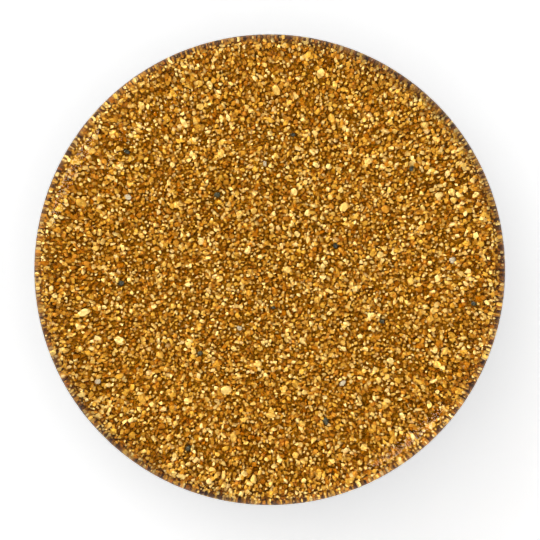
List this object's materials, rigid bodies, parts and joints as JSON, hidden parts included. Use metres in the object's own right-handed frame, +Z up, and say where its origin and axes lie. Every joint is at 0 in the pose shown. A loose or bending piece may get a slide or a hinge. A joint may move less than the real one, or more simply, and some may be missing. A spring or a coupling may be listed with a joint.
{
  "type": "gold sample vial",
  "caption": "Short clear screw-top vial packed with placer gold grains, standing on its ribbed black cap with the rounded closed end up.",
  "frame": {"origin": "centre of the cap's flat outer end, on the surface the vial stands on", "axes": "+Z up the vial's axis, from the cap to the clear closed end; +X and +Y are any two directions across it"},
  "size_m": [0.025, 0.025, 0.028],
  "materials": {
    "clear": "clear polished glass, moulded",
    "cap": "black anodised aluminium, satin, straight knurl",
    "liner": "white foamed polyethylene",
    "foam": "charcoal open-cell foam",
    "disc": "punched card",
    "fine_gold": "packed placer gold grains, water-worn",
    "coarse_gold": "hammered, water-worn gold flakes",
    "black_sand": "dark mineral grains",
    "quartz": "pale frosted quartz grains"
  },
  "bodies": {
    "cap": {"screw_cap": "cap"},
    "liner": {"cap_liner": "liner"},
    "vial": {"vial_body": "clear", "foam_pad": "foam", "backing_disc": "disc", "gold_fines": "fine_gold", "coarse_gold": "coarse_gold", "black_sand": "black_sand", "quartz_grains": "quartz"}
  },
  "joints": [
    {"name": "vial_turn", "type": "hinge", "parent": "cap", "child": "liner", "pos_m": [0, 0, 0], "axis": [0, 0, 1], "range_deg": [0, 1080]},
    {"name": "vial_lift", "type": "slide", "parent": "liner", "child": "vial", "axis": [0, 0, 1], "range_m": [0, 0.00901]}
  ],
  "couplings": [
    {"joint": "vial_lift", "follows": "vial_turn", "m_per_rad": 0.00047746}
  ]
}
